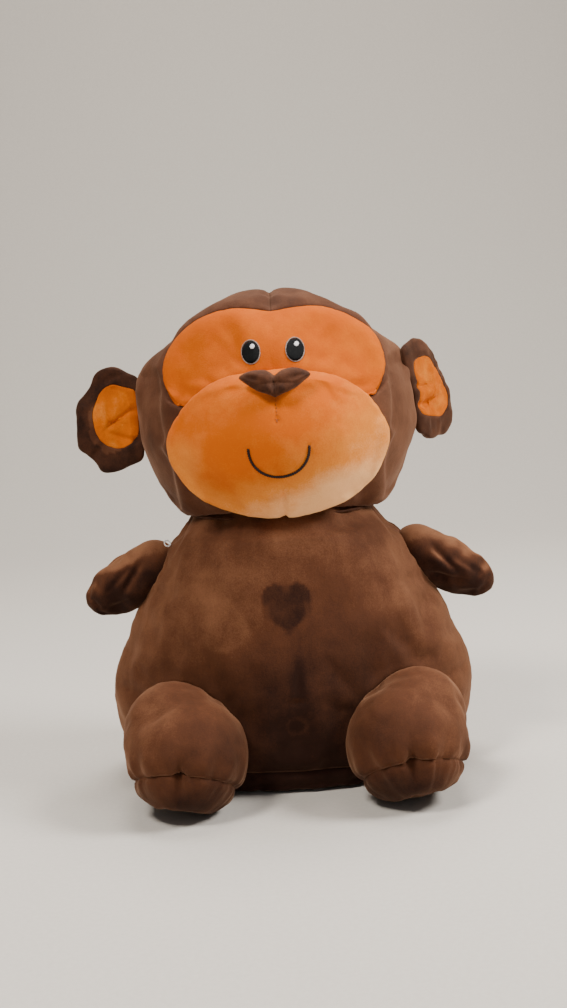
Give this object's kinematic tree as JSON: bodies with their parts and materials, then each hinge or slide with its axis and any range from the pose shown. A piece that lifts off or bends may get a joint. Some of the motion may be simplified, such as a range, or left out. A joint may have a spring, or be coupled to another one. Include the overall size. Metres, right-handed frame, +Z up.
{
  "type": "stuffed monkey",
  "caption": "Seated plush monkey with a round head, orange face, puffed muzzle, folding ears, small arms and stubby legs.",
  "frame": {"origin": "middle of the flat underside of the base, on the surface that the monkey sits on", "axes": "+Z up; the monkey faces -Y; +X is towards the monkey's own left"},
  "size_m": [0.3464, 0.2723, 0.398],
  "materials": {
    "brown_velvet": "satin",
    "dark_velvet": "satin",
    "orange_velvet": "satin",
    "peach_velvet": "satin",
    "ear_patch_velvet": "satin",
    "polyester_fill": "matte",
    "brown_thread": "satin",
    "black_thread": "satin",
    "white_thread": "satin",
    "clear_plastic": "satin",
    "label_ribbon": "satin"
  },
  "bodies": {
    "torso": {"belly_panel": "brown_velvet", "left_back_panel": "brown_velvet", "right_back_panel": "brown_velvet", "base_panel": "dark_velvet", "body_stuffing": "polyester_fill", "closing_stitches": "brown_thread", "care_label": "label_ribbon", "tag_loop": "clear_plastic"},
    "neck": {"neck_seam": "brown_thread"},
    "head": {"left_head_panel": "brown_velvet", "right_head_panel": "brown_velvet", "face_mask": "orange_velvet", "muzzle_cover": "peach_velvet", "muzzle_stuffing": "polyester_fill", "head_stuffing": "polyester_fill", "nose_cover": "dark_velvet", "nose_stuffing": "polyester_fill", "left_eye": "black_thread", "right_eye": "black_thread", "left_eye_glint": "white_thread", "right_eye_glint": "white_thread", "mouth_stitch": "brown_thread", "philtrum_stitch": "brown_thread"},
    "left_ear": {"left_ear_back": "brown_velvet", "left_ear_rim": "brown_velvet", "left_ear_patch": "ear_patch_velvet", "left_ear_wadding": "polyester_fill"},
    "right_ear": {"right_ear_back": "brown_velvet", "right_ear_rim": "brown_velvet", "right_ear_patch": "ear_patch_velvet", "right_ear_wadding": "polyester_fill"},
    "left_shoulder": {"left_shoulder_seam": "brown_thread"},
    "left_arm": {"left_arm_front": "brown_velvet", "left_arm_back": "brown_velvet", "left_arm_stuffing": "polyester_fill"},
    "right_shoulder": {"right_shoulder_seam": "brown_thread"},
    "right_arm": {"right_arm_front": "brown_velvet", "right_arm_back": "brown_velvet", "right_arm_stuffing": "polyester_fill"},
    "left_hip": {"left_hip_seam": "brown_thread"},
    "left_leg": {"left_leg_cover": "brown_velvet", "left_sole_panel": "dark_velvet", "left_leg_stuffing": "polyester_fill"},
    "right_hip": {"right_hip_seam": "brown_thread"},
    "right_leg": {"right_leg_cover": "brown_velvet", "right_sole_panel": "dark_velvet", "right_leg_stuffing": "polyester_fill"}
  },
  "joints": [
    {"name": "neck_turn", "type": "hinge", "parent": "torso", "child": "neck", "pos_m": [0, 0, 0.12], "axis": [0, 0, 1], "range_deg": [-25, 25], "stiffness_Nm_per_rad": 2},
    {"name": "neck_nod", "type": "hinge", "parent": "neck", "child": "head", "pos_m": [0, 0, 0.12], "axis": [1, 0, 0], "range_deg": [-8, 10], "stiffness_Nm_per_rad": 8},
    {"name": "left_ear_fold", "type": "hinge", "parent": "head", "child": "left_ear", "pos_m": [0.1195, 0.008, 0.309], "axis": [0, 0, 1], "range_deg": [-50, 8], "stiffness_Nm_per_rad": 0.03},
    {"name": "right_ear_fold", "type": "hinge", "parent": "head", "child": "right_ear", "pos_m": [-0.1195, 0.008, 0.297], "axis": [0, 0, -1], "range_deg": [-8, 50], "stiffness_Nm_per_rad": 0.03},
    {"name": "left_shoulder_swing", "type": "hinge", "parent": "torso", "child": "left_shoulder", "pos_m": [0.11, -0.004, 0.177], "axis": [0, 0, -1], "range_deg": [-25, 25], "stiffness_Nm_per_rad": 0.15},
    {"name": "left_shoulder_lift", "type": "hinge", "parent": "left_shoulder", "child": "left_arm", "pos_m": [0.11, -0.004, 0.177], "axis": [0, -1, 0], "range_deg": [0, 55], "stiffness_Nm_per_rad": 0.15},
    {"name": "right_shoulder_swing", "type": "hinge", "parent": "torso", "child": "right_shoulder", "pos_m": [-0.11, -0.004, 0.177], "axis": [0, 0, 1], "range_deg": [-25, 25], "stiffness_Nm_per_rad": 0.15},
    {"name": "right_shoulder_lift", "type": "hinge", "parent": "right_shoulder", "child": "right_arm", "pos_m": [-0.11, -0.004, 0.177], "axis": [0, 1, 0], "range_deg": [0, 55], "stiffness_Nm_per_rad": 0.15},
    {"name": "left_hip_turn", "type": "hinge", "parent": "torso", "child": "left_hip", "pos_m": [0.092, -0.084, 0.049], "axis": [0, 0, 1], "range_deg": [-6, 15], "stiffness_Nm_per_rad": 0.8},
    {"name": "left_hip_lift", "type": "hinge", "parent": "left_hip", "child": "left_leg", "pos_m": [0.092, -0.084, 0.049], "axis": [-1, 0, 0], "range_deg": [0, 20], "stiffness_Nm_per_rad": 0.8},
    {"name": "right_hip_turn", "type": "hinge", "parent": "torso", "child": "right_hip", "pos_m": [-0.092, -0.084, 0.049], "axis": [0, 0, -1], "range_deg": [-6, 15], "stiffness_Nm_per_rad": 0.8},
    {"name": "right_hip_lift", "type": "hinge", "parent": "right_hip", "child": "right_leg", "pos_m": [-0.092, -0.084, 0.049], "axis": [-1, 0, 0], "range_deg": [0, 20], "stiffness_Nm_per_rad": 0.8}
  ]
}
